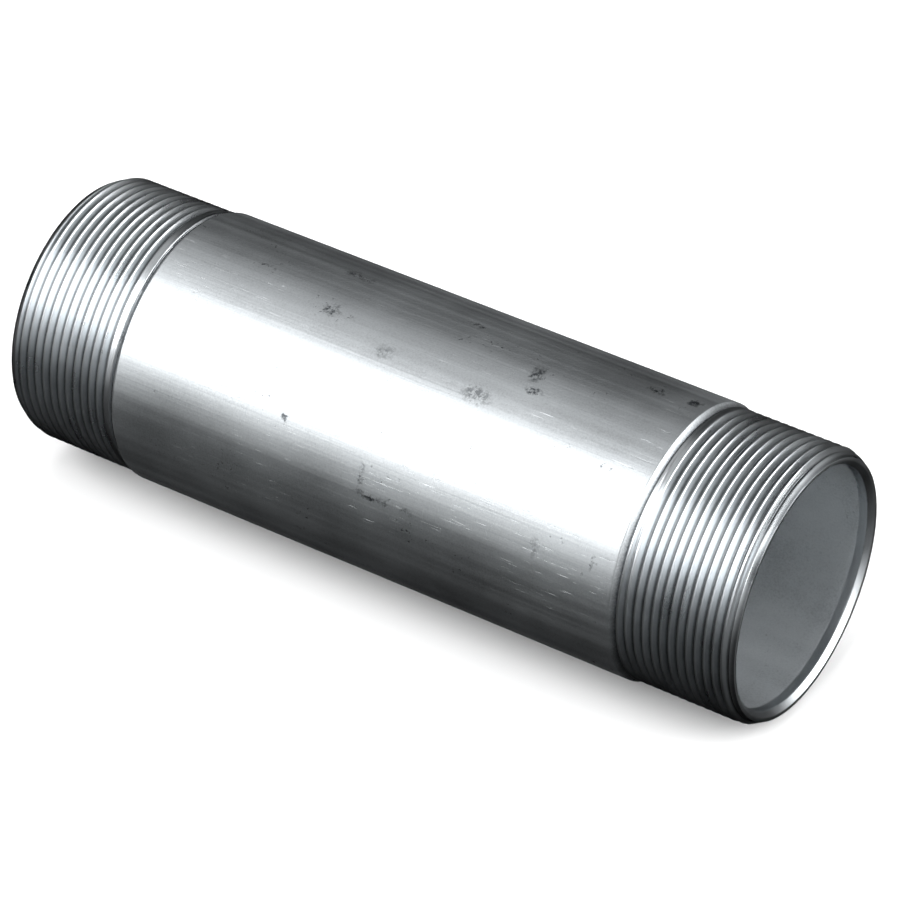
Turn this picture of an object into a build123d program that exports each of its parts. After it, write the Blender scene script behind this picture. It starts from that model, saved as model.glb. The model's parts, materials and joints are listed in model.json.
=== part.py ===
from build123d import *
import os

# A threaded pipe nipple: one straight piece of pipe with a male thread cut on each end.
# It lies along X with its axis on the X axis and its middle at the origin. +Z is up.
# Everything is in millimetres.

# Pipe
pipe_length = 177.8            # over both end faces
barrel_diameter = 60.3         # plain outside between the threads
wall_thickness = 3.9           # of the barrel, which sets the straight bore

# Thread, the same at each end and right-hand
thread_pitch = 2.0
thread_flank_angle = 60.0      # between the two flanks of a groove
depth_per_pitch = 0.615        # crest to root, the standard share for this flank angle
root_flat_per_pitch = 0.165    # width of the groove's floor
turned_down = 0.6              # how far the crests lie below the barrel
thread_start_angle = 180.0     # where round the pipe the groove stops, from straight down
thread_zone_length = 28.0      # from the end face to where the barrel begins
shoulder_length = 1.05         # cone from the barrel down to the relief
relief_depth = 1.05            # of the narrow turned relief, below the barrel
relief_width = 0.2             # of its floor
runout_per_pitch = 0.34        # from where the crests begin to the middle of the groove's end

# Ends
lead_chamfer_angle = 30.0      # of the outside chamfer, from the axis
face_below_root = 0.17         # how far the end face's outer edge lies below the thread's root
bore_chamfer = 1.1             # 45 degree break at each mouth of the bore

# Clearances for cutting
cutter_flare = 0.05            # how far the cutter's sloping flanks reach past the crests
cutter_rise = 0.5              # and its straight sides above them
groove_overrun = 2.2           # how far the groove runs on past the end face before it is trimmed
blank_overrun = 6.0            # and how far the blank that it is cut in runs on at each end

# Worked out from the sizes above
half_length = pipe_length / 2
barrel_radius = barrel_diameter / 2
bore_radius = barrel_radius - wall_thickness
thread_depth = depth_per_pitch * thread_pitch
root_flat = root_flat_per_pitch * thread_pitch
runout_gap = runout_per_pitch * thread_pitch
crest_radius = barrel_radius - turned_down
root_radius = crest_radius - thread_depth
face_radius = root_radius - face_below_root
shoulder_top = half_length - thread_zone_length
relief_radius = barrel_radius - relief_depth

# Distances along each end, from the edge of the barrel
relief_middle = shoulder_length + relief_width / 2
relief_end = shoulder_length + relief_width


def tangent(degrees):
    # Slope of a line that leaves the X axis at this angle.
    along = Vector(1, 0, 0).rotate(Axis.Z, degrees)
    return along.Y / along.X


def spun(*corners):
    # A solid of revolution about X, from the (along, radius) corners of its section.
    return revolve(make_face(Polyline(*corners, close=True)), axis=Axis.X)


def crests_begin():
    # The first crest is reached up a flank that leaves the relief at the thread's own slope.
    return relief_end + (crest_radius - relief_radius) * tangent(thread_flank_angle / 2)


def thread_groove():
    # The helical groove, wound about Z and then laid down along +X. The barrel's edge is at the origin.
    groove_start = crests_begin() + runout_gap
    groove_length = thread_zone_length - groove_start + groove_overrun
    path = Helix(pitch=thread_pitch, height=groove_length, radius=root_radius)
    flare_radius = crest_radius + cutter_flare
    top_radius = flare_radius + cutter_rise
    floor_half = root_flat / 2
    mouth_half = floor_half + (flare_radius - root_radius) * tangent(thread_flank_angle / 2)
    profile = Polyline(
        (root_radius, -floor_half),
        (flare_radius, -mouth_half),
        (top_radius, -mouth_half),
        (top_radius, mouth_half),
        (flare_radius, mouth_half),
        (root_radius, floor_half),
        close=True,
    )
    groove = sweep(make_face(Plane.XZ * profile), path=path, is_frenet=True)
    return Pos(groove_start, 0, 0) * Rot(thread_start_angle, 0, 0) * Rot(0, 90, 0) * groove


def threaded_end():
    # The groove is cut whole in an overlong blank, which is then trimmed to the turned outline. The
    # barrel's edge is at the origin.
    blank_start = -blank_overrun
    blank_end = thread_zone_length + blank_overrun
    blank = spun((blank_start, 0), (blank_start, crest_radius), (blank_end, crest_radius), (blank_end, 0))
    outside_radius = barrel_radius + thread_depth
    flank_run = (outside_radius - relief_radius) * tangent(thread_flank_angle / 2)
    chamfer_run = (outside_radius - face_radius) / tangent(lead_chamfer_angle)
    envelope = spun(
        (relief_middle, 0),
        (relief_middle, relief_radius),
        (relief_end, relief_radius),
        (relief_end + flank_run, outside_radius),
        (thread_zone_length - chamfer_run, outside_radius),
        (thread_zone_length, face_radius),
        (thread_zone_length, 0),
    )
    return (blank - thread_groove()) & envelope


def half_barrel():
    # From the middle of the pipe to the middle of the relief.
    return spun(
        (0, 0),
        (0, barrel_radius),
        (shoulder_top, barrel_radius),
        (shoulder_top + shoulder_length, relief_radius),
        (shoulder_top + relief_middle, relief_radius),
        (shoulder_top + relief_middle, 0),
    )


def half_bore():
    # The bore from the middle outwards, with the chamfer at its mouth carried on past the end face.
    mouth = bore_radius + bore_chamfer
    return spun(
        (0, 0),
        (0, bore_radius),
        (half_length - bore_chamfer, bore_radius),
        (half_length, mouth),
        (half_length + bore_chamfer, mouth + bore_chamfer),
        (half_length + bore_chamfer, 0),
    )


def pipe_nipple():
    # Two equal halves. The left one is the right one turned half round, so both threads are right-hand.
    right_half = half_barrel() + Pos(shoulder_top, 0, 0) * threaded_end() - half_bore()
    left_half = Rot(0, 0, 180) * right_half
    return right_half + left_half


os.makedirs("parts", exist_ok=True)
nipple = pipe_nipple()
export_step(nipple, "parts/pipe_nipple.step")
print("pipe_nipple", nipple.is_valid, len(nipple.solids()), round(nipple.volume, 1))
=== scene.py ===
import json
import math

import bmesh
import bpy
import numpy as np
from mathutils import Matrix, Vector


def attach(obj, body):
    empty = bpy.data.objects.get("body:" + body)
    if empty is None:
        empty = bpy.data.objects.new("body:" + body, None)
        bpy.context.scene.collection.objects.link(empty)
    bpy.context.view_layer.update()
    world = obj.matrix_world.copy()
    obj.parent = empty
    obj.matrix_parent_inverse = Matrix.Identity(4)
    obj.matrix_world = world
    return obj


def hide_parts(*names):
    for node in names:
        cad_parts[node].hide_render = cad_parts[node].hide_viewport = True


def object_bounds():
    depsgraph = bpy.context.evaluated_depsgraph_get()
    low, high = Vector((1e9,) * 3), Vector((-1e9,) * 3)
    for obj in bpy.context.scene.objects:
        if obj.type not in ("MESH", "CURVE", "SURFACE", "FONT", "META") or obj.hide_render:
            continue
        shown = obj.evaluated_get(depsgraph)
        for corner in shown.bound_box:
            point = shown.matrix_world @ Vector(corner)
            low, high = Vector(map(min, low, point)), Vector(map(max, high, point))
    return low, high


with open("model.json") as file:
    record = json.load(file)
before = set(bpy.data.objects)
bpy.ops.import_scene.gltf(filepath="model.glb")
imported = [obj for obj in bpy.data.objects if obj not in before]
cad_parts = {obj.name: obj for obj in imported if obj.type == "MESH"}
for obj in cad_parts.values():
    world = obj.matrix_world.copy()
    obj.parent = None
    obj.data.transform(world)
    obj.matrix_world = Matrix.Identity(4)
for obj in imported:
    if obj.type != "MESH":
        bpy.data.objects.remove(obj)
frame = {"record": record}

mm = 0.001
cadLow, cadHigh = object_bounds()
halfLength = cadHigh.x
barrelRadius = cadHigh.z
mounts = {m["name"]: m for m in frame["record"]["mounts"]}
boreRadius = mounts["through_bore"]["dims"]["r_mm"] * mm
print("frame loaded: half length", round(halfLength, 5), "barrel radius", round(barrelRadius, 5))

camera = {
    "lens": 199.0,                # millimetres, on a 36 mm wide frame
    "azimuth": 33.49,             # degrees round from the pipe's side towards its +X end
    "elevation": 37.14,
    "distance": 1031.5 * mm,      # from the pipe's middle
    "sideStep": 2.978 * mm,       # the camera sits this far to its own right of the middle
    "rise": -1.639 * mm,          # and this far above it
    "clipStart": 0.05,
    "clipEnd": 20.0,
}


def addCamera(c):
    # Back vector = (sin a cos e, -cos a cos e, sin e). The camera's axes are right, up and back.
    a, e = math.radians(c["azimuth"]), math.radians(c["elevation"])
    back = Vector((math.sin(a) * math.cos(e), -math.cos(a) * math.cos(e), math.sin(e)))
    right = Vector((math.cos(a), math.sin(a), 0.0))
    up = back.cross(right)
    place = right * c["sideStep"] + up * c["rise"] + back * c["distance"]
    data = bpy.data.cameras.new("camera")
    data.lens = c["lens"]
    data.sensor_width = 36.0
    data.clip_start = c["clipStart"]
    data.clip_end = c["clipEnd"]
    holder = bpy.data.objects.new("camera", data)
    bpy.context.scene.collection.objects.link(holder)
    turn = Matrix((right, up, back)).transposed().to_4x4()
    holder.matrix_world = Matrix.Translation(place) @ turn
    bpy.context.scene.camera = holder


addCamera(camera)
print("camera placed")

pipe = {
    "columns": 180,               # round the pipe
    "barrelRows": 20,             # along half of the plain barrel
    "boreRows": 24,               # along half of the bore
    "rowsPerPitch": 16,           # across one turn of the thread
    "inset": 0.02 * mm,           # keeps the skin inside the CAD box
    "edgeRound": 0.10 * mm,       # how far from a corner its rounding starts
    "edgeRow": 2.0 * mm,          # the barrel's last row stops this far from its edge
    "mouthDepth": 3.0 * mm,       # how far in from the end face the face's grid goes
    "mergeWithin": 0.0005 * mm,   # points of neighbouring grids that are this close become one
    "threadZone": 28.0 * mm,      # end face to barrel
    "shoulder": 1.05 * mm,        # length of the cone beside the barrel
    "reliefDepth": 1.05 * mm,     # below the barrel
    "reliefWidth": 0.2 * mm,
    "boreChamfer": 1.1 * mm,
    "faceRadius": 28.15 * mm,     # outer edge of the flat end face
    "leadAngle": 30.0,            # outside chamfer, degrees from the axis
}

thread = {
    "pitch": 2.0 * mm,
    "flankAngle": 30.0,           # each flank, degrees from square across
    "turnedDown": 0.6 * mm,       # crests below the barrel
    "depth": 1.23 * mm,           # crest to root
    "rootFlat": 0.33 * mm,
    "rounding": 0.14 * mm,        # of crests and roots
    "capRounding": 0.08 * mm,     # where the chamfer or the relief's flank cuts the crests
    "runoutGap": 0.68 * mm,       # where the crests begin to the middle of the groove's end
    "runoutTurns": 0.30,          # share of a turn over which the groove deepens
    "nicks": 34,                  # small dents on the crests of each thread
    "nickDepth": 0.05 * mm,       # of the deepest
    "nickShare": (0.3, 1.0),      # each nick's share of that
    "nickWidth": 0.22 * mm,       # across the crest
    "nickLength": (0.5, 2.2),     # millimetres round the pipe
    "nickWander": 0.05 * mm,      # off the middle of the crest
    "seed": 11,
}


def softMin(a, b, k):
    # The smaller of a and b, with the corner between them rounded over a height k.
    h = np.clip(k - np.abs(a - b), 0.0, None) / k
    return np.minimum(a, b) - h * h * k / 4


def softMax(a, b, k):
    # The larger of a and b, rounded in the same way.
    return -softMin(-a, -b, k)


def spunPoints(x, r, angle):
    # A point at x along the axis, r from it, and angle round from +Y towards +Z.
    return np.stack(np.broadcast_arrays(x, r * np.cos(angle), r * np.sin(angle)), axis=-1)


def gridFaces(rows, columns, first):
    # Every square of a rows by columns grid of points, wound so that outside faces point outwards.
    corner = first + np.arange(rows - 1)[:, None] * columns + np.arange(columns - 1)[None, :]
    return np.stack([corner, corner + 1, corner + columns + 1, corner + columns], axis=-1).reshape(-1, 4)


def roundedLine(corners, sizes, steps=4):
    # A line through the corners, each replaced by an arc-like curve that starts and ends size away:
    # point = (1-t)^2 start + 2t(1-t) corner + t^2 end.
    corners = np.array(corners, float)
    t = np.linspace(0.0, 1.0, steps)[:, None]
    line = [corners[:1]]
    for before, here, after, size in zip(corners[:-2], corners[1:-1], corners[2:], sizes):
        start = here + (before - here) * size / np.linalg.norm(before - here)
        end = here + (after - here) * size / np.linalg.norm(after - here)
        line.append((1 - t) ** 2 * start + 2 * t * (1 - t) * here + t ** 2 * end)
    line.append(corners[-1:])
    return np.concatenate(line)


def spread(start, end, count):
    # Points from start to end with equal steps, both included.
    t = np.linspace(0.0, 1.0, count)[:, None]
    return (1 - t) * np.array(start) + t * np.array(end)


flankSlope = math.tan(math.radians(thread["flankAngle"]))
leadSlope = math.tan(math.radians(pipe["leadAngle"]))
faceX = halfLength - pipe["inset"]
skinRadius = barrelRadius - pipe["inset"]
crestRadius = barrelRadius - thread["turnedDown"]
reliefRadius = barrelRadius - pipe["reliefDepth"]
shoulderTop = halfLength - pipe["threadZone"]
shoulderFoot = shoulderTop + pipe["shoulder"]
reliefEnd = shoulderFoot + pipe["reliefWidth"]
crestsBegin = reliefEnd + (crestRadius - reliefRadius) * flankSlope
grooveStart = crestsBegin + thread["runoutGap"]
grooveStartAngle = math.pi / 2
mouthRadius = boreRadius + pipe["boreChamfer"]
roundAngles = grooveStartAngle + np.linspace(0.0, 2 * math.pi, pipe["columns"] + 1)


def crestDents(x, angle, rng):
    # Each nick is a bell-shaped dent on a crest line, longer round the pipe than across it.
    turns = (faceX - grooveStart) / thread["pitch"]
    turn = rng.uniform(thread["runoutTurns"], turns, thread["nicks"])
    along = grooveStart + (turn + 0.5) * thread["pitch"]
    along += rng.normal(0, thread["nickWander"], thread["nicks"])
    where = grooveStartAngle + 2 * math.pi * (turn % 1.0)
    length = rng.uniform(*thread["nickLength"], thread["nicks"]) * mm
    deep = rng.uniform(*thread["nickShare"], thread["nicks"]) * thread["nickDepth"]
    away = (angle[..., None] - where + math.pi) % (2 * math.pi) - math.pi
    bell = np.exp(-((x[..., None] - along) / thread["nickWidth"]) ** 2 - (away * crestRadius / length) ** 2)
    return (bell * deep).sum(axis=-1)


def threadRadius(x, angle, fromGroove, turn, rng):
    # Crest height less a flat-bottomed V: depth = (half mouth - distance from the groove's middle) / flank
    # slope, held between 0 and the full depth. The depth grows from nothing over the run-out.
    # The lead chamfer and the flank beside the relief cap it.
    t = np.clip(turn / thread["runoutTurns"], 0.0, 1.0)
    depth = thread["depth"] * t * t * (3 - 2 * t)
    halfMouth = thread["rootFlat"] / 2 + depth * flankSlope
    cut = (halfMouth - np.abs(fromGroove)) / flankSlope
    cut = softMin(softMax(cut, 0.0, thread["rounding"]), depth, thread["rounding"])
    radius = crestRadius - cut - crestDents(x, angle, rng)
    lead = pipe["faceRadius"] + (faceX - x) * leadSlope
    rising = reliefRadius + (x - reliefEnd) / flankSlope
    return softMin(softMin(radius, lead, thread["capRounding"]), rising, thread["capRounding"])


def threadGrid(rng):
    # Rows follow the helix, so each one keeps its place across the groove: x = groove start + turn times
    # pitch + place across + pitch times the share of a turn. Rows that run past an end are held at it.
    half = thread["pitch"] / 2
    across = np.linspace(-half, half, pipe["rowsPerPitch"], endpoint=False)
    turns = np.arange(-2, math.ceil((faceX - grooveStart) / thread["pitch"]) + 2)
    base = (turns[:, None] * thread["pitch"] + across).ravel()[:, None]
    turnOf = np.repeat(turns, len(across))[:, None]
    share = np.linspace(0.0, 1.0, pipe["columns"] + 1)[None, :]
    free = grooveStart + base + thread["pitch"] * share
    x = np.clip(free, reliefEnd, faceX)
    angle = np.broadcast_to(roundAngles[None, :], x.shape)
    centre = grooveStart + (turnOf + share) * thread["pitch"]
    radius = threadRadius(x, angle, x - centre, turnOf + share, rng)
    radius = np.where(x <= reliefEnd, reliefRadius, np.where(x >= faceX, pipe["faceRadius"], radius))
    return spunPoints(x, radius, angle)


def ringGrid(line):
    # A (along, radius) line carried once round the axis.
    return spunPoints(line[:, :1], line[:, 1:], roundAngles[None, :])


def outsideLine():
    # Barrel from the middle, then the cone and the relief's floor.
    size = pipe["edgeRound"]
    barrel = spread((0.0, skinRadius), (shoulderTop - pipe["edgeRow"], skinRadius), pipe["barrelRows"])
    corners = [barrel[-1], (shoulderTop, skinRadius), (shoulderFoot, reliefRadius), (reliefEnd, reliefRadius)]
    return np.concatenate([barrel, roundedLine(corners, [size * 2, size * 0.9])[1:]])


def faceLine():
    size = pipe["edgeRound"]
    corners = [
        (faceX, pipe["faceRadius"]),
        (faceX, mouthRadius),
        (faceX - pipe["boreChamfer"], boreRadius),
        (faceX - pipe["mouthDepth"], boreRadius),
    ]
    return roundedLine(corners, [size, size * 2])


def boreLine():
    return spread((faceX - pipe["mouthDepth"], boreRadius), (0.0, boreRadius), pipe["boreRows"])


def pipeMesh(name, materials):
    # The right half in four grids, each with its own material, and the same turned half round about Z.
    rng = np.random.default_rng(thread["seed"])
    parts = [
        (ringGrid(outsideLine()), 0),
        (threadGrid(rng), 1),
        (ringGrid(faceLine()), 2),
        (ringGrid(boreLine()), 3),
    ]
    points, places, faces, kinds, first = [], [], [], [], 0
    for sign in (1.0, -1.0):
        for grid, kind in parts:
            points.append((grid * np.array([sign, sign, 1.0])).reshape(-1, 3))
            share = np.broadcast_to(np.linspace(0.0, 1.0, grid.shape[1])[None, :], grid.shape[:2])
            around = share if sign > 0 else 1.0 - share
            along = 0.5 + sign * grid[..., 0] / (2 * halfLength)
            places.append(np.stack([along, around], axis=-1).reshape(-1, 2))
            squares = gridFaces(grid.shape[0], grid.shape[1], first)
            faces.append(squares)
            kinds.append(np.full(len(squares), kind))
            first += grid.shape[0] * grid.shape[1]
    points, places = np.concatenate(points), np.concatenate(places)
    faces, kinds = np.concatenate(faces), np.concatenate(kinds)
    mesh = bpy.data.meshes.new(name)
    mesh.from_pydata(points, [], faces)
    mesh.polygons.foreach_set("material_index", kinds.astype(np.int32))
    mesh.polygons.foreach_set("use_smooth", np.ones(len(faces), bool))
    skin = mesh.uv_layers.new(name="skin")
    skin.data.foreach_set("uv", places[faces.ravel()].astype(np.float32).ravel())
    for material in materials:
        mesh.materials.append(material)
    work = bmesh.new()
    work.from_mesh(mesh)
    bmesh.ops.remove_doubles(work, verts=work.verts, dist=pipe["mergeWithin"])
    openEdges = sum(1 for e in work.edges if not e.is_manifold)
    volume = work.calc_volume(signed=True) / mm ** 3
    print(name, "open or doubled edges", openEdges, "volume mm3", round(volume, 1))
    work.to_mesh(mesh)
    work.free()
    shown = bpy.data.objects.new(name, mesh)
    bpy.context.scene.collection.objects.link(shown)
    mesh.calc_loop_triangles()
    print(name, "triangles", len(mesh.loop_triangles))
    return shown


metal = {
    "color": (0.60, 0.63, 0.65),
    "edgeShadeTint": (0.08, 0.08, 0.08, 1),     # painted shade: the reflection is darkened where the metal is seen edge-on, darkening the pipe's top and bottom rims
    # Colour of stains, specks and marks, and also of the painted shade in hollows.
    "stainAndShadeColor": (0.11, 0.12, 0.13),
    "paleColor": (0.80, 0.83, 0.85),
    "dotSize": (900.0, 900.0, 900.0),      # features per metre: specks
    "patchSize": (85.0, 85.0, 85.0),       # patches that the specks keep to
    "grainSize": (2400.0, 2400.0, 2400.0),
    "breakSize": (900.0, 900.0, 900.0),    # what breaks the marks up
    "usualRange": (0.3, 0.7),              # noise values that most places lie between
    "scratchRange": (0.675, 0.75),         # noise values over which a scratch fades in
    "crossRange": (0.70, 0.77),
    "dotRange": (0.60, 0.68),
    "patchRange": (0.58, 0.66),
    "breakRange": (0.44, 0.54),
    "roughSwing": 0.04,                    # how much streaks and clouds change the roughness
    "scratchShine": -0.08,                 # and scratches
    "dent": -1.2,                          # depth of scratches and specks beside the lines' height
    "markEdge": 0.9,                       # waves per millimetre along a mark's outline
    "markWander": 3.0,                     # millimetres from its furthest push in to its furthest out
}

barrelLook = {
    "roughness": 0.425,
    "lineTone": 0.035,                     # how much the lines change the colour
    "cloudTone": 0.07,                     # and the clouds
    "drawSize": (22.0, 2300.0, 2300.0),    # features per metre: long draw lines along the pipe
    "streakSize": (5.0, 420.0, 420.0),
    "cloudSize": (30.0, 30.0, 30.0),
    "scratchSize": (150.0, 4800.0, 4800.0),
    "crossSize": (4600.0, 190.0, 190.0),
    "wear": 1.0,                           # how strongly scratches and specks show
    "grainTone": 0.13,                     # and the fine grain
    "bump": 0.022,
}

threadLook = {
    "roughness": 0.30,
    "lineTone": 0.05,
    "cloudTone": 0.07,
    "drawSize": (5200.0, 55.0, 55.0),      # turning lines round the pipe
    "streakSize": (420.0, 60.0, 60.0),
    "cloudSize": (60.0, 60.0, 60.0),
    "scratchSize": (700.0, 900.0, 900.0),
    "crossSize": (2600.0, 700.0, 700.0),
    "wear": 0.15,
    "grainTone": 0.04,
    "bump": 0.008,
}

faceLook = dict(threadLook, roughness=0.32)
boreLook = dict(barrelLook, roughness=0.42, bump=0.02, lineTone=0.06, cloudTone=0.22, wear=0.4,
                drawSize=(1500.0, 1500.0, 1500.0), cloudSize=(45.0, 45.0, 45.0), metallic=0.84)

# Each mark: place along in millimetres, degrees round, half length and half width in millimetres, strength.
marks = [
    (-22.7, 78.4, 4.5, 1.5, 0.75), (7.4, 80.8, 3.0, 1.0, 0.7), (49.2, 77.8, 2.4, 1.6, 0.9),
    (57.5, 76.8, 2.0, 2.2, 0.8), (26.5, 95.8, 2.0, 3.0, 0.8), (28.5, 104.4, 2.6, 1.2, 0.9),
    (-21.0, 102.8, 2.6, 1.8, 0.8), (18.3, 114.8, 4.4, 2.6, 0.55), (-19.6, 150.8, 1.4, 1.1, 0.85),
    (0.8, 161.0, 0.8, 4.2, 0.65), (3.6, 168.4, 5.2, 1.1, 0.65), (55.7, 158.8, 0.8, 2.2, 0.7),
    (42.6, 160.8, 1.4, 3.6, 0.35), (-5.0, 112.0, 3.0, 2.0, 0.35), (-49.0, 141.0, 1.6, 0.8, 0.5),
    (12.5, 168.5, 2.2, 0.9, 0.4), (-60.0, 250.0, 4.0, 2.0, 0.5), (20.0, 285.0, 5.0, 2.0, 0.6),
    (-30.0, 320.0, 3.0, 2.5, 0.6), (38.0, 350.0, 4.0, 1.4, 0.6), (-12.0, 30.0, 3.5, 1.5, 0.6),
]
paleMarks = [
    (34.0, 184.0, 9.0, 3.2, 0.55), (30.0, 190.0, 3.0, 5.0, 0.5), (43.0, 173.0, 3.0, 5.0, 0.35),
    (-19.0, 180.0, 3.0, 0.30, 0.8), (-4.0, 179.5, 3.6, 0.25, 0.5), (9.5, 180.0, 1.6, 0.3, 0.7),
    (36.5, 163.0, 1.8, 0.25, 0.8), (42.6, 72.5, 1.6, 0.7, 0.9), (-44.0, 172.0, 6.0, 0.5, 0.35),
]


class Maker:
    # Adds nodes to one material and joins them up.
    def __init__(self, name):
        self.material = bpy.data.materials.new(name)
        self.material.use_nodes = True
        self.nodes, self.links = self.material.node_tree.nodes, self.material.node_tree.links
        self.shader = self.nodes["Principled BSDF"]
        self.place = self.nodes.new("ShaderNodeTexCoord").outputs["Object"]

    def add(self, kind, inputs, settings=None):
        node = self.nodes.new(kind)
        for key, value in (settings or {}).items():
            setattr(node, key, value)
        for key, value in inputs.items():
            if isinstance(value, bpy.types.NodeSocket):
                self.links.new(value, node.inputs[key])
            else:
                node.inputs[key].default_value = value
        return node

    def math(self, operation, a, b=0.0):
        return self.add("ShaderNodeMath", {0: a, 1: b}, {"operation": operation}).outputs[0]

    def vector(self, operation, a, b):
        return self.add("ShaderNodeVectorMath", {0: a, 1: b}, {"operation": operation}).outputs[0]

    def noise(self, size, detail=3.0, wander=0.5, turn=(0.0, 0.0, 0.0)):
        mapped = self.add("ShaderNodeMapping", {"Vector": self.place, "Scale": size, "Rotation": turn})
        made = self.add("ShaderNodeTexNoise", {"Vector": mapped.outputs[0], "Scale": 1.0,
                                               "Detail": detail, "Roughness": wander})
        return made.outputs["Fac"]

    def span(self, value, low, high, toLow=0.0, toHigh=1.0):
        made = self.add("ShaderNodeMapRange", {"Value": value, "From Min": low, "From Max": high,
                                               "To Min": toLow, "To Max": toHigh})
        return made.outputs[0]


def colorMix(make, amount, a, b):
    # A colour mix by hand, because the mix node has several sockets with the same name.
    node = make.nodes.new("ShaderNodeMix")
    node.data_type = "RGBA"
    make.links.new(amount, node.inputs[0])
    for value, socket in ((a, node.inputs[6]), (b, node.inputs[7])):
        if isinstance(value, bpy.types.NodeSocket):
            make.links.new(value, socket)
        else:
            socket.default_value = (*value, 1.0)
    return node.outputs[2]


def placedMarks(make, listed):
    # Each mark is an oval round its middle, full strength out to 0.35 of its half size and gone at 1.
    # Noise pushes its outline in and out. Marks are added together.
    skin = make.add("ShaderNodeUVMap", {}, {"uv_map": "skin"}).outputs[0]
    wide = 2 * halfLength / mm
    tall = 2 * math.pi * skinRadius / mm
    real = make.add("ShaderNodeMapping", {"Vector": skin, "Scale": (wide, tall, 1.0)}).outputs[0]
    ragged = make.add("ShaderNodeTexNoise", {"Vector": real, "Scale": metal["markEdge"], "Detail": 4.0})
    wander = metal["markWander"]
    shift = make.vector("ADD", ragged.outputs["Color"], (-0.5, -0.5, -0.5))
    moved = make.vector("ADD", real, make.vector("MULTIPLY", shift, (wander, wander, 0.0)))
    total = None
    for along, degrees, length, width, strength in listed:
        share = ((degrees - 90.0) % 360.0) / 360.0
        centre = (along + wide / 2, share * tall, 0.0)
        away = make.vector("SUBTRACT", moved, centre)
        scaled = make.vector("MULTIPLY", away, (1 / length, 1 / width, 0.0))
        far = make.add("ShaderNodeVectorMath", {0: scaled}, {"operation": "LENGTH"}).outputs["Value"]
        one = make.span(far, 1.0, 0.35, 0.0, strength)
        total = one if total is None else make.math("ADD", total, one)
    return total


def metalMaterial(name, look, metallic=1.0, marked=False, paintedShade=None):
    # Draw or turning lines, broad streaks, clouds and a fine grain shift the colour a little. Thin
    # scratches are pale and smoother, and small specks are dark. Scratches and specks are dents too.
    make = Maker(name)
    lines = make.noise(look["drawSize"], 4.0, 0.6)
    streaks = make.noise(look["streakSize"], 3.0, 0.55)
    clouds = make.noise(look["cloudSize"], 5.0, 0.6)
    along = make.noise(look["scratchSize"], 2.0, 0.5, (0.0, 0.0, 0.02))
    across = make.noise(look["crossSize"], 2.0, 0.5, (0.0, 0.0, 0.25))
    dots = make.noise(metal["dotSize"], 3.0, 0.6)
    patches = make.noise(metal["patchSize"], 3.0, 0.6)
    grain = make.noise(metal["grainSize"], 2.0, 0.7)
    crossing = make.span(across, *metal["crossRange"], 0.0, 0.8)
    scratch = make.math("ADD", make.span(along, *metal["scratchRange"]), crossing)
    scratch = make.math("MULTIPLY", scratch, make.span(clouds, 0.42, 0.62, 0.1, 1.0))
    scratch = make.math("MULTIPLY", scratch, look["wear"])
    worn = make.span(patches, *metal["patchRange"], 0.0, 0.8 * look["wear"])
    speck = make.math("MULTIPLY", make.span(dots, *metal["dotRange"]), worn)
    usual = metal["usualRange"]
    lineTone, cloudTone, grainTone = look["lineTone"], look["cloudTone"], look["grainTone"]
    tone = make.span(lines, *usual, -lineTone, lineTone)
    tone = make.math("ADD", tone, make.span(streaks, *usual, -lineTone, lineTone))
    tone = make.math("ADD", tone, make.span(clouds, *usual, -cloudTone, cloudTone))
    tone = make.math("ADD", tone, make.span(grain, *usual, -grainTone, grainTone))
    dark = speck
    pale = scratch
    if marked:
        broken = make.span(make.noise(metal["breakSize"], 4.0, 0.75), *metal["breakRange"], 0.12, 1.25)
        dark = make.math("ADD", speck, make.math("MULTIPLY", placedMarks(make, marks), broken))
        pale = make.math("ADD", scratch, make.math("MULTIPLY", placedMarks(make, paleMarks), broken))
    if paintedShade:
        # Painted shade: darker where the radius = sqrt(y^2 + z^2) is small, standing in for the shade that
        # falls in hollows such as the thread roots and the cone.
        low, high, amount = paintedShade
        axes = make.add("ShaderNodeSeparateXYZ", {0: make.place})
        ySquare = make.math("POWER", axes.outputs["Y"], 2.0)
        zSquare = make.math("POWER", axes.outputs["Z"], 2.0)
        radius = make.math("SQRT", make.math("ADD", ySquare, zSquare))
        dark = make.math("ADD", dark, make.span(radius, low, high, amount, 0.0))
    dark = make.math("MINIMUM", make.math("ADD", dark, make.math("MULTIPLY", tone, -1.0)), 1.0)
    dark = make.math("MAXIMUM", dark, 0.0)
    pale = make.math("MAXIMUM", make.math("MINIMUM", make.math("ADD", pale, tone), 1.0), 0.0)
    color = colorMix(make, pale, metal["color"], metal["paleColor"])
    color = colorMix(make, dark, color, metal["stainAndShadeColor"])
    make.links.new(color, make.shader.inputs["Base Color"])
    swing = metal["roughSwing"]
    rough = make.math("ADD", make.span(streaks, *usual, -swing, swing), look["roughness"])
    rough = make.math("ADD", rough, make.span(clouds, *usual, -swing, 1.25 * swing))
    rough = make.math("ADD", rough, make.math("MULTIPLY", pale, metal["scratchShine"]))
    make.links.new(rough, make.shader.inputs["Roughness"])
    relief = make.math("ADD", lines, make.math("MULTIPLY", make.math("ADD", scratch, speck), metal["dent"]))
    bump = make.add("ShaderNodeBump", {"Height": relief, "Strength": 1.0, "Distance": look["bump"] * mm})
    make.links.new(bump.outputs[0], make.shader.inputs["Normal"])
    make.shader.inputs["Metallic"].default_value = metallic
    make.shader.inputs["Specular Tint"].default_value = metal["edgeShadeTint"]
    return make.material
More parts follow.
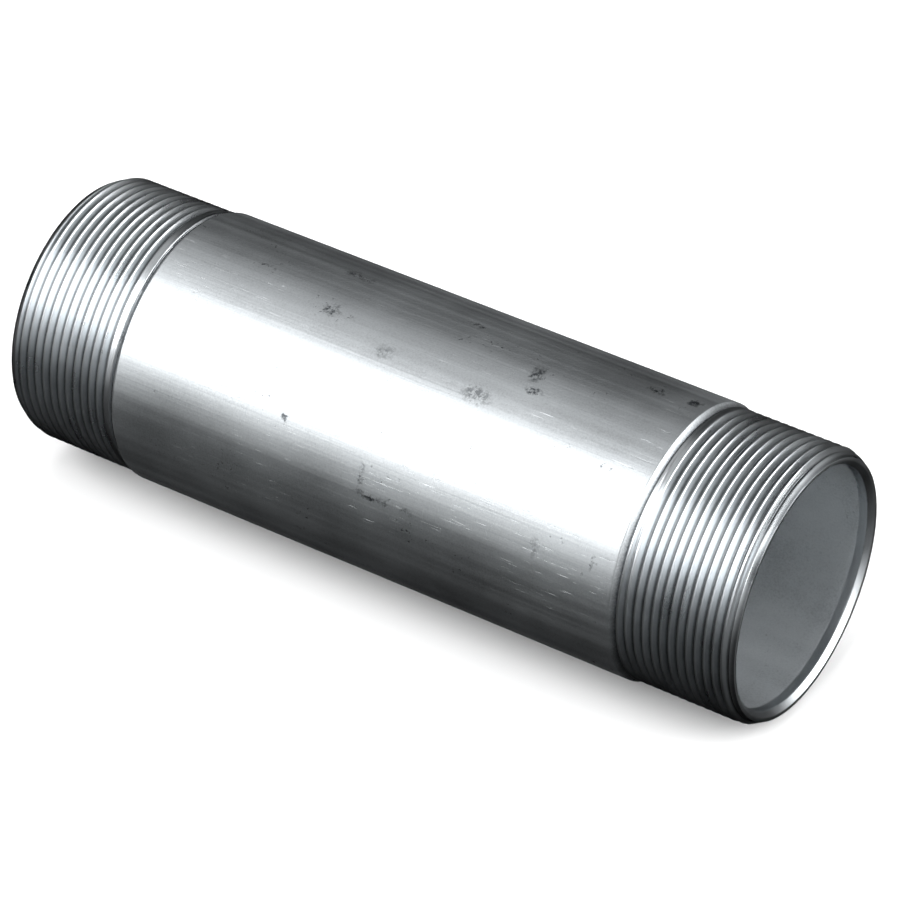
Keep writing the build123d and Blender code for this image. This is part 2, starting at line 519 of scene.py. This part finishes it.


# Painted shade in hollows: the radius where it is darkest, the radius where it is gone, and how strong it is.
rootRadius = crestRadius - thread["depth"]
# Painted shade on the cone and the relief's floor below the barrel.
conePaintedShade = (reliefRadius, skinRadius - 0.05 * mm, 0.9)
# Painted shade along the thread roots, the dark lines between the crests.
rootPaintedShade = (rootRadius + 0.02 * mm, rootRadius + 0.34 * mm, 0.75)
barrelMetal = metalMaterial("barrelMetal", barrelLook, marked=True, paintedShade=conePaintedShade)
threadMetal = metalMaterial("threadMetal", threadLook, paintedShade=rootPaintedShade)
faceMetal = metalMaterial("faceMetal", faceLook)
boreMetal = metalMaterial("boreMetal", boreLook, boreLook["metallic"])
threadedPipe = pipeMesh("threaded_pipe", [barrelMetal, threadMetal, faceMetal, boreMetal])
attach(threadedPipe, "root")
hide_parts("pipe_nipple")
print("pipe made")

studio = {
    "floorSize": 6.0,             # metres from the middle to each side
    "floorColor": (0.9, 0.9, 0.9),
    "airTop": 0.055,              # brightness of the air overhead
    "airLow": 0.002,              # and below the horizon
    "airSide": 0.12,              # extra towards the near end
    "airFront": 0.05,             # and towards the front
    "airColor": (0.95, 0.98, 1.0),
    "stackDistance": 1.0,         # the three stacked softboxes in front, metres away
    "stackLong": 1.5,             # and their length along the pipe
    "stackSide": 0.44,            # how far they stand towards -X
    "stackReach": 0.898,          # and how far out from the axis
}

stackedSoftboxes = [              # name, lowest and highest edge in degrees up from level in front, watts
    ("bottomSoftbox", -6.0, 24.0, 0.9),
    ("mainSoftbox", 24.0, 68.0, 16.0),
    ("topSoftbox", 68.0, 118.0, 2.1),
]
otherSoftboxes = [                # name, direction, distance, wide, tall, watts, wide side lies along
    ("endSoftbox", (0.84, 0.16, 0.52), 1.1, 1.4, 0.8, 17.0, (0, 1, 0)),          # behind the near end
    ("mouthSoftbox", (0.86, -0.47, 0.20), 1.1, 0.7, 0.5, 1.6, (0.47, 0.86, 0)),   # before its mouth
    ("backSoftbox", (0.30, 0.80, 0.50), 1.1, 1.0, 0.6, 0.6, (1, 0, 0)),
    ("floorFill", (0.1, 0.2, 1.0), 1.5, 2.0, 2.0, 14.0, (1, 0, 0)),              # overhead, for the floor
]


def addFloor(s):
    size = s["floorSize"]
    mesh = bpy.data.meshes.new("floor")
    z = cadLow.z
    corners = [(-size, -size, z), (size, -size, z), (size, size, z), (-size, size, z)]
    mesh.from_pydata(corners, [], [(0, 1, 2, 3)])
    floor = bpy.data.objects.new("floor", mesh)
    floor.visible_glossy = False  # kept out of reflections, which it would fill with white from below
    bpy.context.scene.collection.objects.link(floor)
    material = bpy.data.materials.new("floorPaper")
    material.use_nodes = True
    shader = material.node_tree.nodes["Principled BSDF"]
    shader.inputs["Base Color"].default_value = (*s["floorColor"], 1)
    shader.inputs["Roughness"].default_value = 0.9
    shader.inputs["Specular IOR Level"].default_value = 0.1
    mesh.materials.append(material)


def addSoftbox(name, direction, distance, wide, tall, power, along):
    # A rectangular light that faces the pipe's middle, its first side as near as can be to "along".
    back = Vector(direction).normalized()
    up = back.cross(Vector(along)).normalized()
    right = up.cross(back)
    data = bpy.data.lights.new(name, "AREA")
    data.shape = "RECTANGLE"
    data.size = wide
    data.size_y = tall
    data.energy = power
    holder = bpy.data.objects.new(name, data)
    bpy.context.scene.collection.objects.link(holder)
    turn = Matrix((right, up, back)).transposed().to_4x4()
    holder.matrix_world = Matrix.Translation(back * distance) @ turn


def addAir(s):
    # Brightness of the surroundings rises from below to overhead, low + (top - low) * height, with more
    # added towards the near end and the front.
    world = bpy.data.worlds.new("studioAir")
    world.use_nodes = True
    nodes, links = world.node_tree.nodes, world.node_tree.links
    place = nodes.new("ShaderNodeTexCoord")
    axes = nodes.new("ShaderNodeSeparateXYZ")
    rise = nodes.new("ShaderNodeMapRange")
    rise.inputs["From Min"].default_value = -0.2
    rise.inputs["From Max"].default_value = 0.8
    rise.inputs["To Min"].default_value = s["airLow"]
    rise.inputs["To Max"].default_value = s["airTop"]
    links.new(place.outputs["Generated"], axes.inputs[0])
    links.new(axes.outputs["Z"], rise.inputs["Value"])
    total = rise.outputs[0]
    for axis, start, end, amount in (("X", 0.45, 0.95, s["airSide"]), ("Y", -0.25, -0.90, s["airFront"])):
        glow = nodes.new("ShaderNodeMapRange")
        glow.inputs["From Min"].default_value = start
        glow.inputs["From Max"].default_value = end
        glow.inputs["To Max"].default_value = amount
        links.new(axes.outputs[axis], glow.inputs["Value"])
        added = nodes.new("ShaderNodeMath")
        links.new(total, added.inputs[0])
        links.new(glow.outputs[0], added.inputs[1])
        total = added.outputs[0]
    links.new(total, nodes["Background"].inputs["Strength"])
    nodes["Background"].inputs["Color"].default_value = (*s["airColor"], 1)
    bpy.context.scene.world = world


addFloor(studio)
for name, low, high, power in stackedSoftboxes:
    # Height = 2 * distance * tan(half the angle between its edges).
    middle = math.radians((low + high) / 2)
    tall = 2 * studio["stackDistance"] * math.tan(math.radians((high - low) / 2))
    reach = studio["stackReach"]
    aim = (-studio["stackSide"], -reach * math.cos(middle), reach * math.sin(middle))
    addSoftbox(name, aim, studio["stackDistance"], studio["stackLong"], tall, power, (1, 0, 0))
for row in otherSoftboxes:
    addSoftbox(*row)
bpy.data.objects["floorFill"].visible_glossy = False
addAir(studio)
bpy.context.scene.view_settings.view_transform = "Standard"
print("studio lit")
